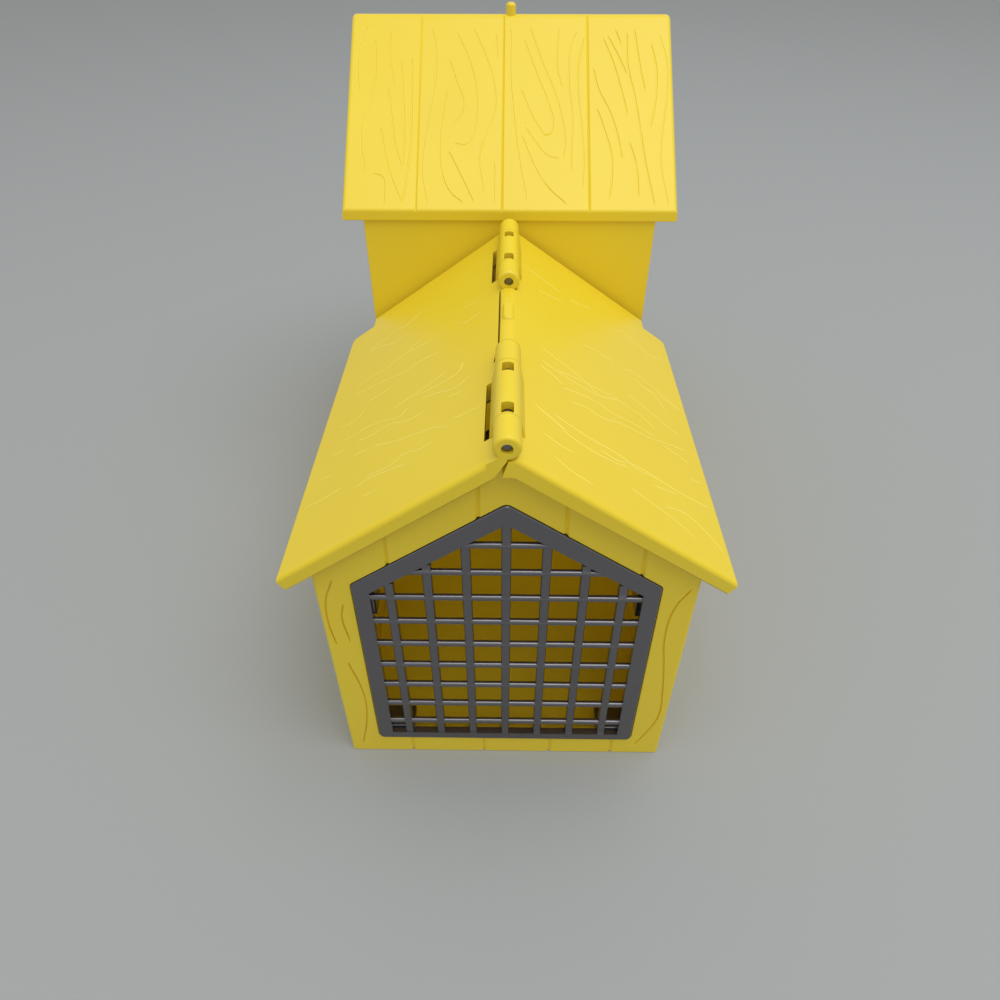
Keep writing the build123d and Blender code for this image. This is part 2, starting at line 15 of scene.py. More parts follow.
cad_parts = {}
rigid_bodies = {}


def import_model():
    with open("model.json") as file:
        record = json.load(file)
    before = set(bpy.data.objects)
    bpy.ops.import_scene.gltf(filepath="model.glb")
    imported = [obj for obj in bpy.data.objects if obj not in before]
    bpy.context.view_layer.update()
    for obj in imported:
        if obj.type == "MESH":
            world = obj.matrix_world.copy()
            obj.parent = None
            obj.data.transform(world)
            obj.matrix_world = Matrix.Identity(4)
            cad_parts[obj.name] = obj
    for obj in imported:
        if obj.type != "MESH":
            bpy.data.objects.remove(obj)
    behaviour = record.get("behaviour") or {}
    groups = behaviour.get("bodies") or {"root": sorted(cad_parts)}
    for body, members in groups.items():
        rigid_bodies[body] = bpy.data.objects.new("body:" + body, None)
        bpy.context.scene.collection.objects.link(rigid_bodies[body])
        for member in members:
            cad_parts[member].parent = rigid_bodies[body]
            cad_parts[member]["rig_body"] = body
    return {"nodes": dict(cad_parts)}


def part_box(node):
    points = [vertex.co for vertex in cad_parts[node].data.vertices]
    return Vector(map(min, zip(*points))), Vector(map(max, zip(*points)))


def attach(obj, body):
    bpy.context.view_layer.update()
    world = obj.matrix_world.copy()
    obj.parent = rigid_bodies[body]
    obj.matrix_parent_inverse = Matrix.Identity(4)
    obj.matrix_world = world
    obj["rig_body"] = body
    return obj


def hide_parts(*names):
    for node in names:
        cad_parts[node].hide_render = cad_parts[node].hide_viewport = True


bl_info = {
    "name": "Toy chicken coop",
    "version": (1, 0, 0),
    "blender": (4, 5, 0),
    "location": "3D View > Sidebar > Coop",
    "description": "Moulded toy chicken coop with engraved planks and a hinged run roof",
    "category": "Object",
}

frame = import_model()

MM = 0.001
YELLOW_SLOT = "yellow_plastic"
GREY_SLOT = "grey_plastic"
STEEL_SLOT = "steel"
FINISHES = {
    YELLOW_SLOT: "yellow_abs_moulded",
    GREY_SLOT: "grey_abs_moulded",
    STEEL_SLOT: "steel_wire_drawn",
}
# The fine streaks' paler, glossier yellow is a painted highlight along each streak
PAINTED_HIGHLIGHT = "yellow_abs_painted_highlight"

# The run's roof: its slope and outline, the rounding of its edges, and the hinge barrel
RUN_ROOF_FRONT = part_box("hinged_roof_panel")[0].y
RUN_RIDGE = 120.0 * MM
RUN_SLOPE = radians(35.0)
RUN_EAVE = 55.2 * MM
RUN_ROOF_ROUND = 1.3 * MM
RUN_RIDGE_ROUND = 3.2 * MM
SHOULDER_SETBACK = 7.2 * MM
TONGUE_HALF_WIDTH = 47.0 * MM
HINGE_HEIGHT = 120.9 * MM
KNUCKLE_RADIUS = 3.05 * MM

# The house's roof: its slope, eave and rounding, and the joints between its planks in millimetres
HOUSE_SLOPE = radians(38.3)
HOUSE_EAVE = 124.9 * MM
HOUSE_ROOF_THICKNESS = 3.0 * MM
HOUSE_ROOF_ROUND = 1.4 * MM
HOUSE_RIDGE_ROUND = 4.3 * MM
HOUSE_PLANK_EDGES = (-52.5, -30.2, -2.4, 25.7, 52.5)

# The wire front: its frame, the flat columns counted from the middle, and the round rows behind
GRILLE_SHOULDER = 76.3 * MM
GRILLE_CHAMFER = 0.5 * MM
GRILLE_THICKNESS = 2.1 * MM
COLUMN_COUNT = 7
COLUMN_PITCH = 9.6 * MM
COLUMN_WIDTH = 2.3 * MM
COLUMN_SETBACK = 0.3 * MM
COLUMN_BEVEL = 0.3 * MM
ROW_COUNT = 9
ROW_START = 16.45 * MM
ROW_PITCH = 9.2 * MM
ROW_RADIUS = 0.885 * MM
ROW_TOLERANCE = 0.05 * MM

# The upright boards of the side and back walls, in millimetres: their width, how many a side wall
# has, the bare strip at their foot, and the bare strips at their top
WALL_THICKNESS = 3.0
WALL_BOARD_WIDTH = 19.5
SIDE_BOARD_COUNT = 6
BOARD_FOOT = 1.5
RUN_HEADROOM = 6
GABLE_HEADROOM = 2
BACK_HEADROOM = 5

# An engraved stroke thins to the share TIP of its size at its ends, and is TIP_DEPTH deep there.
# It does so over RUN_OUT millimetres, or over RUN_OUT_SHARE of a short first or last step.
TIP = 0.35
TIP_DEPTH = 0.02 * MM
RUN_OUT = 1.5
RUN_OUT_SHARE = 0.3

# What counts as one point, as flat, as sharp and as the same direction, in the CAD pieces' meshes
MERGE_DISTANCE = 0.002 * MM
FLAT_ANGLE = radians(0.5)
SHARP_ANGLE = radians(32)
SAME_WAY = 0.999

# How far a face may be off a cylinder's skin or an edge's arc and still be shaded as part of it:
# in distance, in the lean of its normal along it, and in shares of the arc's radius. A face whose
# normal's cosine with a flat side is above FLAT_COSINE belongs to that side.
SKIN_TOLERANCE = 0.02 * MM
SKIN_LEAN = 0.1
ARC_LEAN = 0.02
ARC_MARGIN = 0.03
FLAT_COSINE = 0.9999

# Corners of the round pins and of the round floor, the floor's gap under the coop, and the lamp
# in the run
PIN_SIDES = 48
FLOOR_SIDES = 96
FLOOR_DROP = 0.05 * MM
GLOW_SIZE = (60 * MM, 30 * MM)
GLOW_PLACE = (0, -22 * MM, 70 * MM)

# Wood grain engraved on the house's roof: x across the roof and distance up from the eave, one
# list of strokes for each of its four planks. The back slope has the same planks in another order,
# with the grain kept off their joints by a share of their width.
BACK_PLANKS = (1, 3, 0, 2)
PLANK_MARGIN = 0.06
FRONT_PLANK_LENGTH = 70
BACK_PLANK_LENGTH = 69
HOUSE_ROOF_GRAIN = (
    (
        ((-48.5, 68), (-51, 60), (-51, 49), (-50, 42)),
        ((-45.5, 62.5), (-45, 50), (-46, 41), (-48.5, 34), (-49, 26), (-47, 13)),
        ((-40.5, 66), (-40.5, 57), (-38.5, 45)),
        ((-40.5, 44), (-39, 33), (-37.5, 23), (-35.2, 15.5)),
        ((-36.5, 54.5), (-35.2, 37), (-34.6, 25), (-35, 15)),
        ((-42.5, 29.5), (-41, 21.5), (-39, 13.5), (-35, 3)),
        ((-33, 55.5), (-32.5, 37), (-32.5, 23), (-33.5, 11), (-34.5, 2)),
        ((-44.5, 13), (-41.5, 12), (-40.5, 6), (-40.5, 2)),
    ),
    (
        ((-26.5, 67), (-25, 58), (-25, 48), (-26.5, 36), (-28, 25), (-28.5, 13), (-26.5, 2)),
        ((-21, 43.5), (-22.5, 33), (-23, 23), (-22, 13), (-19, 6), (-15, 2.5)),
        ((-20.5, 55), (-18, 47), (-15.5, 39), (-16.5, 34), (-19.5, 30.5)),
        ((-18, 65.5), (-14, 55.5), (-11.5, 45), (-11, 36), (-12, 28), (-14.5, 23.5), (-18.5, 24)),
        ((-12.5, 67), (-8.5, 57), (-5.5, 46), (-5, 37), (-7.5, 29), (-10, 19), (-8.5, 7)),
        ((-20, 21), (-16, 12.5), (-11.5, 2.5)),
        ((-5, 65), (-4.5, 55.5)),
        ((-5, 17), (-5, 2.5)),
    ),
    (
        ((0, 67), (0, 49), (1, 36), (2.5, 22), (5.5, 3.5)),
        ((4.5, 63), (9, 49), (12.5, 39), (14, 31), (12, 27), (9.5, 30), (6.5, 36), (3.5, 44)),
        ((6.5, 67.5), (11, 53), (14.5, 43.5), (17, 33.5), (18, 25), (17.5, 18.5)),
        ((5, 30), (9, 23.5), (12.5, 19.5), (16, 18.5)),
        ((4, 26.5), (7.5, 17), (12.5, 8), (18.5, 2)),
        ((16, 67), (15.5, 52), (17, 45)),
        ((22, 66), (20, 60), (19.5, 45), (20.5, 33), (20, 22), (20, 14)),
        ((24.5, 63.5), (22.5, 52), (22.5, 42), (23.5, 30), (24, 18), (23.5, 8)),
    ),
    (
        ((27.5, 52), (29, 44.5), (33, 35), (35.5, 25), (36.5, 18.5)),
        ((28.5, 37), (31, 28.5), (33, 20), (33, 12), (32, 4)),
        ((31, 63.5), (34.5, 53), (36.5, 44.5), (38.5, 35)),
        ((32.5, 64.5), (36, 56.5), (38.5, 50)),
        ((35, 67), (37, 61)),
        ((39, 66), (39, 53), (41, 42), (42.5, 30), (44, 17), (46.5, 2)),
        ((41.5, 67), (43, 53), (44.5, 43.5)),
        ((47, 61.5), (48.5, 52), (48, 41), (46, 30)),
        ((50, 65), (52, 54.5), (51.5, 40), (50, 30), (49, 17), (51, 2)),
        ((39, 24.5), (41, 16), (41.5, 5)),
    ),
)

# Grain on the front wall, beside the wire front: x across, and height
FRONT_WALL_GRAIN = (
    ((-42.5, 78), (-45, 71), (-45.8, 62.5), (-44.8, 51.5)),
    ((-41, 69), (-42, 64), (-41, 53)),
    ((-43, 45), (-40.5, 30.5), (-41, 18), (-44, 3)),
    ((45.5, 76), (42.5, 69.5), (41.5, 57), (43, 45), (44.5, 32), (45, 20), (42.5, 11), (39.5, 4)),
)

# Grain for the upright boards of the other walls, drawn on a board of the size below: x across
# it and height
BOARD_SIZE = (WALL_BOARD_WIDTH, 80.0)
BOARD_GRAIN = (
    (
        ((5, 76), (3, 68), (2.6, 60), (4, 50), (6, 44)),
        ((10, 70), (9, 62), (10.5, 53), (13, 46)),
        ((14, 75), (15.8, 66), (15, 57)),
        ((11, 42), (14.5, 33), (16.2, 22), (15.5, 11), (13, 3)),
        ((5, 38), (3.6, 27), (5.5, 15), (5, 5)),
        ((9.5, 30), (10.8, 21), (9.5, 12)),
    ),
    (
        ((3.5, 77), (6, 66), (9, 57), (10, 48), (8, 41), (5.5, 47), (3.5, 55)),
        ((13, 76), (14, 64), (15.8, 54), (16.2, 44), (14, 36)),
        ((8.5, 76), (10.8, 68)),
        ((4, 35), (7, 26), (8, 17), (6.5, 8), (3.6, 3)),
        ((12, 31), (14.8, 22), (16, 12), (15, 3)),
        ((11, 18), (11.4, 9)),
    ),
    (
        ((3.5, 73), (4.6, 60), (4, 47), (5.6, 35), (7.6, 24), (7, 12), (4.6, 3)),
        ((9, 77), (8, 68), (9, 58), (11.5, 50), (13.2, 41), (12, 33), (9.4, 39)),
        ((14.2, 77), (16, 66), (16, 55)),
        ((12, 28), (14.6, 20), (15.8, 11), (14.8, 3)),
        ((16.4, 44), (16.8, 34), (15.6, 27)),
    ),
)

# Fine streaks on the run's roof: distance back from its front edge, and down from the ridge
RIGHT_STREAKS = (
    ((98, 6), (96.5, 12.5), (96, 20)),
    ((87, 10), (90, 20)),
    ((95, 23), (99.5, 32)),
    ((53.5, 10.5), (52.5, 15), (51, 22.5), (47, 30)),
    ((47, 10), (46, 14.5), (46, 21), (47, 29), (51.5, 37)),
    ((44, 9.5), (43, 13.5), (41, 17)),
    ((46.5, 15), (49.5, 25), (51.5, 37.5), (50.5, 46), (48, 50)),
    ((39.5, 16.5), (41.5, 21.5), (43, 28.5), (42.5, 33.5), (44, 41), (44, 48.5)),
    ((35, 18.5), (37, 23.5), (37, 29.5), (40, 36), (42, 48)),
    ((24.5, 7.5), (23, 11.5), (21, 17)),
    ((25, 13), (24, 23), (24.5, 33), (23, 39.5), (24, 45)),
    ((20.5, 15), (19.5, 20), (20, 31), (21.5, 36)),
    ((15, 9.5), (14, 14), (14, 18.5)),
    ((8.5, 12.5), (7, 16), (6, 23)),
    ((22, 27), (21.5, 31.5), (24, 38), (24, 52), (25, 64)),
    ((20, 43), (21.5, 48.5), (23, 53)),
    ((13.5, 35), (12.5, 41), (10.5, 50), (8.5, 55)),
    ((14, 46), (16, 51.5), (15.5, 56.5), (12.5, 61), (9.5, 64.5)),
    ((72, 41.5), (74.5, 46), (73.5, 51), (72.5, 56), (70, 63)),
    ((71, 45.5), (69, 49.5), (68, 54), (64, 56.5)),
    ((58.5, 40.5), (57.5, 45.5), (54.5, 55.5), (53.5, 60.5)),
    ((68.5, 48.5), (70.5, 56), (69.5, 64)),
    ((95, 39.5), (99, 47), (99, 50)),
    ((97.5, 45.5), (96, 52), (95, 57), (98.5, 63)),
    ((71, 26), (72.5, 32), (72.5, 38)),
    ((42.5, 48.5), (45, 54.5), (47, 61)),
    ((42.5, 51), (42, 57.5), (41, 61)),
    ((33.5, 58.5), (35, 64.5)),
)
LEFT_STREAKS = (
    ((100, 34), (97, 38), (97, 44), (96, 56)),
    ((89, 38), (89, 43), (93, 50), (95, 55.5)),
    ((73, 27), (75, 32), (76, 39), (74.5, 44), (75.5, 51), (74.5, 57)),
    ((79, 31.5), (77, 37)),
    ((63.5, 23.5), (65, 30), (64.5, 36.5), (66.5, 41.5), (68, 47.5), (70, 56)),
    ((50, 19.5), (48.5, 24.5), (48, 29.5), (47.5, 37.5)),
    ((49, 14), (45.5, 15.5), (45, 20.5), (46, 26), (47, 31)),
    ((40, 11), (38.5, 16), (41.5, 22), (43.5, 27)),
    ((35, 13.5), (36, 18)),
    ((60.5, 40.5), (60.5, 50)),
    ((57, 49.5), (54, 53), (55, 59)),
    ((43, 32), (41, 34), (44, 40.5), (46, 47), (46, 52), (46.5, 56)),
    ((36, 26), (36.5, 31.5), (40, 37), (40, 44), (41.5, 49)),
    ((23.5, 7.5), (24, 12), (25, 16)),
    ((23, 17), (26.5, 23), (28.5, 29.5), (31, 36), (34, 42)),
    ((20.5, 21.5), (20, 25), (22, 30), (20.5, 34), (21, 39), (21.5, 42.5)),
    ((34.5, 43.5), (35, 49.5)),
    ((41.5, 54), (41.5, 58.5)),
    ((17, 28.5), (18.5, 33.5), (20, 40.5), (19.5, 45.5)),
    ((32, 56.5), (33.5, 61.5)),
    ((23, 50.5), (23, 55), (23, 59.5), (24, 64)),
    ((13.5, 37.5), (14, 42.5)),
    ((71.5, 10), (71, 14), (73.5, 17.5)),
    ((80, 10.5), (81.5, 16)),
)


def srgb(code):
    """Linear red, green and blue of an sRGB hex colour."""
    channels = [int(code[place : place + 2], 16) / 255 for place in (1, 3, 5)]
    return tuple(c / 12.92 if c <= 0.04045 else ((c + 0.055) / 1.055) ** 2.4 for c in channels)


class CoopSizes(bpy.types.PropertyGroup):
    """Sizes of the engraving and of the softened edges."""

    grain_width: bpy.props.FloatProperty(
        name="Grain width",
        description="Width of an engraved stroke of wood grain where it is widest",
        default=0.8 * MM,
        subtype="DISTANCE",
        unit="LENGTH",
    )
    grain_depth: bpy.props.FloatProperty(
        name="Grain depth",
        description="Depth of an engraved stroke of wood grain",
        default=0.3 * MM,
        subtype="DISTANCE",
        unit="LENGTH",
    )
    front_grain_width: bpy.props.FloatProperty(
        name="Front grain width",
        description="Width of the strokes beside the wire front",
        default=0.65 * MM,
        subtype="DISTANCE",
        unit="LENGTH",
    )
    front_grain_depth: bpy.props.FloatProperty(
        name="Front grain depth",
        description="Depth of the strokes beside the wire front",
        default=0.5 * MM,
        subtype="DISTANCE",
        unit="LENGTH",
    )
    streak_width: bpy.props.FloatProperty(
        name="Streak width",
        description="Width of a fine streak on the run's roof",
        default=0.45 * MM,
        subtype="DISTANCE",
        unit="LENGTH",
    )
    streak_depth: bpy.props.FloatProperty(
        name="Streak depth",
        description="Depth of a fine streak on the run's roof",
        default=0.13 * MM,
        subtype="DISTANCE",
        unit="LENGTH",
    )
    edge_softness: bpy.props.FloatProperty(
        name="Edge softness",
        description="Width of the rounding that the mould leaves on a panel's sharp edges",
        default=0.2 * MM,
        subtype="DISTANCE",
        unit="LENGTH",
    )
    roof_softness: bpy.props.FloatProperty(
        name="Roof softness",
        description="Width of the rounding under the roofs' outer edges",
        default=0.6 * MM,
        subtype="DISTANCE",
        unit="LENGTH",
    )
    pin_chamfer: bpy.props.FloatProperty(
        name="Pin chamfer",
        description="Width of the chamfer on the hinge pins' ends",
        default=0.2 * MM,
        subtype="DISTANCE",
        unit="LENGTH",
    )


class CoopColours(bpy.types.PropertyGroup):
    """Colours of the plastics, the steel and the floor."""

    yellow: bpy.props.FloatVectorProperty(
        name="Yellow",
        description="Colour of the coop's panels",
        default=srgb("#f1d72e"),
        subtype="COLOR",
    )
    yellow_deep: bpy.props.FloatVectorProperty(
        name="Deep yellow",
        description="Colour of the panels where the melt flowed last",
        default=srgb("#edcf28"),
        subtype="COLOR",
    )
    # Paler yellow of the fine streaks, a painted highlight along each one
    yellow_painted_highlight: bpy.props.FloatVectorProperty(
        name="Painted highlight yellow",
        description="Colour of the fine streaks, painted paler as a highlight",
        default=srgb("#f8e56a"),
        subtype="COLOR",
    )
    grey: bpy.props.FloatVectorProperty(
        name="Grey",
        description="Colour of the wire front",
        default=srgb("#777579"),
        subtype="COLOR",
    )
    grey_deep: bpy.props.FloatVectorProperty(
        name="Deep grey",
        description="Darker shade in the wire front's plastic",
        default=srgb("#6f6e71"),
        subtype="COLOR",
    )
    steel: bpy.props.FloatVectorProperty(
        name="Steel",
        description="Colour of the hinge pins",
        default=srgb("#77757a"),
        subtype="COLOR",
    )
    glow: bpy.props.FloatVectorProperty(
        name="Glow",
        description="Colour of the light that comes through the roof",
        default=srgb("#f2ec78"),
        subtype="COLOR",
    )
    floor: bpy.props.FloatVectorProperty(
        name="Floor",
        description="Colour of the floor",
        default=srgb("#a4a7a7"),
        subtype="COLOR",
    )
    backdrop: bpy.props.FloatVectorProperty(
        name="Backdrop",
        description="Colour behind the floor",
        default=srgb("#c6c8c8"),
        subtype="COLOR",
    )


class StudioSettings(bpy.types.PropertyGroup):
    """Camera, lamps and floor."""

    camera_place: bpy.props.FloatVectorProperty(
        name="Camera place",
        description="Place of the camera",
        default=(0.08 * MM, -236.69 * MM, 211.03 * MM),
        subtype="TRANSLATION",
        unit="LENGTH",
    )
    camera_pitch: bpy.props.FloatProperty(
        name="Camera pitch",
        description="Angle that the camera looks down below the horizon",
        default=radians(41.3),
        subtype="ANGLE",
        unit="ROTATION",
    )
    camera_turn: bpy.props.FloatProperty(
        name="Camera turn",
        description="Angle that the camera is turned to the left",
        default=radians(0.74),
        subtype="ANGLE",
        unit="ROTATION",
    )
    camera_lens: bpy.props.FloatProperty(
        name="Camera lens",
        description="Focal length in millimetres on a 36 mm sensor",
        default=26.52,
        unit="CAMERA",
    )
    key_place: bpy.props.FloatVectorProperty(
        name="Key lamp place",
        description="Place of the large soft lamp over the coop",
        default=(0.29, -0.34, 1.42),
        subtype="TRANSLATION",
        unit="LENGTH",
    )
    key_size: bpy.props.FloatProperty(
        name="Key lamp size",
        description="Side of the large soft lamp",
        default=1.3,
        subtype="DISTANCE",
        unit="LENGTH",
    )
    key_power: bpy.props.FloatProperty(
        name="Key lamp power",
        description="Power of the large soft lamp",
        default=12.6,
        unit="POWER",
    )
    glow_power: bpy.props.FloatProperty(
        name="Glow power",
        description="Power of the lamp in the run, for light that the thin roof lets through",
        default=0.005,
        unit="POWER",
    )
    sky_strength: bpy.props.FloatProperty(
        name="Sky strength",
        description="Level of the even light from all round",
        default=0.57,
    )
    floor_radius: bpy.props.FloatProperty(
        name="Floor radius",
        description="Radius of the round floor",
        default=4.0,
        subtype="DISTANCE",
        unit="LENGTH",
    )


def add_node(tree, kind, inputs=None, **attributes):
    """Adds a node, sets its attributes, and gives each input a value or a link from a socket."""
    node = tree.nodes.new(kind)
    for name, value in attributes.items():
        setattr(node, name, value)
    for name, value in (inputs or {}).items():
        if isinstance(value, bpy.types.NodeSocket):
            tree.links.new(value, node.inputs[name])
        else:
            node.inputs[name].default_value = value
    return node


def new_material(name):
    """A material with an empty node tree, and that tree."""
    material = bpy.data.materials.new(name)
    material.use_nodes = True
    material.node_tree.nodes.clear()
    return material, material.node_tree


def rgba(colour):
    """A colour with full opacity."""
    return (*colour, 1.0)


def moulded_abs(name, colour, deep_colour, roughness, flake):
    """ABS from a spark-eroded mould.

    The eye gets an even satin skin: soft highlights that break up on a grain too fine to count,
    and a shade that drifts a little over a few centimetres, as the melt cooled at its own pace.
    flake is the share of metallic pigment, which makes edges that face the lamp flash.
    """
    material, tree = new_material(name)
    place = add_node(tree, "ShaderNodeTexCoord")
    # The drift of the shade has patches of about 35 mm
    drift = add_node(
        tree,
        "ShaderNodeTexNoise",
        {"Vector": place.outputs["Object"], "Scale": 1 / (35 * MM), "Detail": 2.0},
    )
    shade = add_node(
        tree,
        "ShaderNodeMix",
        {"Factor": drift.outputs["Fac"], "A": rgba(colour), "B": rgba(deep_colour)},
        data_type="RGBA",
    )
    # The eroded grain is 0.05 mm on the real part, and is drawn at 0.4 mm so that it shows
    grain = add_node(
        tree,
        "ShaderNodeTexNoise",
        {"Vector": place.outputs["Object"], "Scale": 1 / (0.4 * MM), "Detail": 3.0},
    )
    sheen = add_node(
        tree,
        "ShaderNodeMapRange",
        {
            "Value": grain.outputs["Fac"],
            "To Min": roughness - 0.05,
            "To Max": roughness + 0.06,
        },
    )
    bump = add_node(
        tree,
        "ShaderNodeBump",
        {"Height": grain.outputs["Fac"], "Strength": 0.25, "Distance": 0.02 * MM},
    )
    shader = add_node(
        tree,
        "ShaderNodeBsdfPrincipled",
        {
            "Base Color": shade.outputs["Result"],
            "Roughness": sheen.outputs["Result"],
            "IOR": 1.52,
            "Metallic": flake,
            "Normal": bump.outputs["Normal"],
        },
    )
    add_node(tree, "ShaderNodeOutputMaterial", {"Surface": shader.outputs["BSDF"]})
    return material


def drawn_steel(name, colour):
    """Cold-drawn steel wire, cut to length.

    The eye gets a grey metal with blurred reflections, drawn out along the wire.
    """
    material, tree = new_material(name)
    place = add_node(tree, "ShaderNodeTexCoord")
    # Drawing lines run along the wire, about 0.15 mm apart round it
    stretched = add_node(
        tree,
        "ShaderNodeMapping",
        {"Vector": place.outputs["Object"], "Scale": (1.0, 0.04, 1.0)},
    )
    lines = add_node(
        tree,
        "ShaderNodeTexNoise",
        {"Vector": stretched.outputs["Vector"], "Scale": 1 / (0.3 * MM), "Detail": 2.0},
    )
    sheen = add_node(
        tree,
        "ShaderNodeMapRange",
        {"Value": lines.outputs["Fac"], "To Min": 0.28, "To Max": 0.46},
    )
    bump = add_node(
        tree,
        "ShaderNodeBump",
        {"Height": lines.outputs["Fac"], "Strength": 0.3, "Distance": 0.01 * MM},
    )
    shader = add_node(
        tree,
        "ShaderNodeBsdfPrincipled",
        {
            "Base Color": rgba(colour),
            "Metallic": 1.0,
            "Roughness": sheen.outputs["Result"],
            "Normal": bump.outputs["Normal"],
        },
    )
    add_node(tree, "ShaderNodeOutputMaterial", {"Surface": shader.outputs["BSDF"]})
    return material


def matt_paint(name, colour):
    """Matt paint, rolled.

    The eye gets an even pale floor with no reflection, and a faint stipple close to.
    """
    material, tree = new_material(name)
    place = add_node(tree, "ShaderNodeTexCoord")
    # The roller's stipple is about 2 mm
    stipple = add_node(
        tree,
        "ShaderNodeTexNoise",
        {"Vector": place.outputs["Object"], "Scale": 1 / (2 * MM), "Detail": 1.0},
    )
    bump = add_node(
        tree,
        "ShaderNodeBump",
        {"Height": stipple.outputs["Fac"], "Strength": 0.1, "Distance": 0.05 * MM},
    )
    shader = add_node(
        tree,
        "ShaderNodeBsdfPrincipled",
        {"Base Color": rgba(colour), "Roughness": 0.9, "Normal": bump.outputs["Normal"]},
    )
    add_node(tree, "ShaderNodeOutputMaterial", {"Surface": shader.outputs["BSDF"]})
    return material


def finish(kind):
    """The material of that kind, made from the scene's colours when it is first asked for."""
    colours = bpy.context.scene.coop_colours
    if kind in bpy.data.materials:
        return bpy.data.materials[kind]
    if kind == FINISHES[STEEL_SLOT]:
        return drawn_steel(kind, colours.steel)
    if kind == FINISHES[GREY_SLOT]:
        return moulded_abs(kind, colours.grey, colours.grey_deep, roughness=0.22, flake=0.85)
    # The streaks' paler yellow is a painted highlight along each streak
    if kind == PAINTED_HIGHLIGHT:
        streak_highlight_colour = colours.yellow_painted_highlight
        return moulded_abs(kind, streak_highlight_colour, streak_highlight_colour, roughness=0.3, flake=0.0)
    return moulded_abs(kind, colours.yellow, colours.yellow_deep, roughness=0.4, flake=0.0)


def joined_copy(node):
    """A mesh in edit form with a CAD piece's triangles joined, and its flat faces made whole."""
    shape = bmesh.new()
    shape.from_mesh(frame["nodes"][node].data)
    bmesh.ops.remove_doubles(shape, verts=shape.verts, dist=MERGE_DISTANCE)
    bmesh.ops.dissolve_limit(
        shape, angle_limit=FLAT_ANGLE, verts=shape.verts, edges=shape.edges
    )
    return shape


def sharp_edges(shape):
    """The edges of a shape that look sharp."""
    return [e for e in shape.edges if e.is_manifold and e.calc_face_angle() > SHARP_ANGLE]


def meeting_edges(shape, first, second):
    """The edges where a face that looks along one direction meets one along the other."""
    found = []
    for edge in shape.edges:
        normals = [face.normal for face in edge.link_faces]
        for one, other in (normals, normals[::-1]):
            if one.dot(first) > SAME_WAY and other.dot(second) > SAME_WAY:
                found.append(edge)
    return found


def soften_edges(shape, edges, width, segments=2):
    """Rounds these edges of a shape, as a mould's worn corners do."""
    bmesh.ops.bevel(
        shape,
        geom=edges,
        offset=width,
        offset_type="OFFSET",
        affect="EDGES",
        segments=segments,
        profile=0.5,
        clamp_overlap=False,
        material=-1,
    )


def new_piece(name, shape):
    """An object in the scene made from a shape, which is then let go."""
    mesh = bpy.data.meshes.new(name)
    shape.to_mesh(mesh)
    shape.free()
    piece = bpy.data.objects.new(name, mesh)
    bpy.context.scene.collection.objects.link(piece)
    return piece


def fit_piece(piece, node, slot):
    """Gives a piece its finish, and puts it in its CAD piece's place."""
    piece.data.materials.clear()
    piece.data.materials.append(finish(FINISHES[slot]))
    piece.data.shade_smooth()
    piece.data.set_sharp_from_angle(angle=SHARP_ANGLE)
    evened = piece.modifiers.new("Even shading", "WEIGHTED_NORMAL")
    evened.keep_sharp = True
    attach(piece, frame["nodes"][node]["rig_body"])
    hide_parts(node)


def drawn_grooves(strokes, place, width, depth):
    """Tapered tubes along strokes drawn on a panel, which cut round grooves of that size in it.

    place takes x, y and height over the panel, in millimetres, to the coop's own frame. A stroke
    runs out at its ends, where the tube gets thin and rises almost out of the panel.
    """
    radius = (width * width / 4 + depth * depth) / (2 * depth)
    line = bpy.data.curves.new("Strokes", "CURVE")
    line.dimensions = "3D"
    line.bevel_depth = radius / MM
    line.bevel_resolution = 1
    line.resolution_u = 4
    line.use_fill_caps = True
    for stroke in strokes:
        drawn = [Vector(point) for point in stroke]
        first_step, last_step = drawn[1] - drawn[0], drawn[-2] - drawn[-1]
        points = [
            drawn[0],
            drawn[0] + first_step * min(RUN_OUT / first_step.length, RUN_OUT_SHARE),
            *drawn[1:-1],
            drawn[-1] + last_step * min(RUN_OUT / last_step.length, RUN_OUT_SHARE),
            drawn[-1],
        ]
        spline = line.splines.new("BEZIER")
        spline.bezier_points.add(len(points) - 1)
        for index, (point, (x, y)) in enumerate(zip(spline.bezier_points, points)):
            at_end = index in (0, len(points) - 1)
            point.co = (x, y, (radius * TIP - TIP_DEPTH if at_end else radius - depth) / MM)
            point.handle_left_type = "AUTO"
            point.handle_right_type = "AUTO"
            point.radius = TIP if at_end else 1.0
    cutter = bpy.data.objects.new("Strokes", line)
    bpy.context.scene.collection.objects.link(cutter)
    mesh = bpy.data.meshes.new_from_object(
        cutter.evaluated_get(bpy.context.evaluated_depsgraph_get())
    )
    bpy.data.objects.remove(cutter)
    mesh.transform(place @ Matrix.Scale(MM, 4))
    shape = bmesh.new()
    shape.from_mesh(mesh)
    bmesh.ops.remove_doubles(shape, verts=shape.verts, dist=MERGE_DISTANCE)
    bmesh.ops.recalc_face_normals(shape, faces=shape.faces)
    return new_piece("Strokes", shape)


def engrave(piece, cutter):
    """Cuts the grooves out of a piece, and puts the tool away."""
    cut = piece.modifiers.new("Engraving", "BOOLEAN")
    cut.operation = "DIFFERENCE"
    cut.solver = "EXACT"
    cut.use_self = True
    cut.object = cutter
    carved = bpy.data.meshes.new_from_object(
        piece.evaluated_get(bpy.context.evaluated_depsgraph_get())
    )
    if len(carved.polygons) <= len(piece.data.polygons):
        raise RuntimeError(f"the engraving of {piece.name} cut nothing")
    piece.modifiers.clear()
    piece.data = carved
    bpy.data.objects.remove(cutter)


def axes(x_axis, y_axis, z_axis, origin):
    """The place whose x, y and z run along these directions from this origin."""
    turned = Matrix((x_axis, y_axis, z_axis)).transposed().to_4x4()
    return Matrix.Translation(origin) @ turned


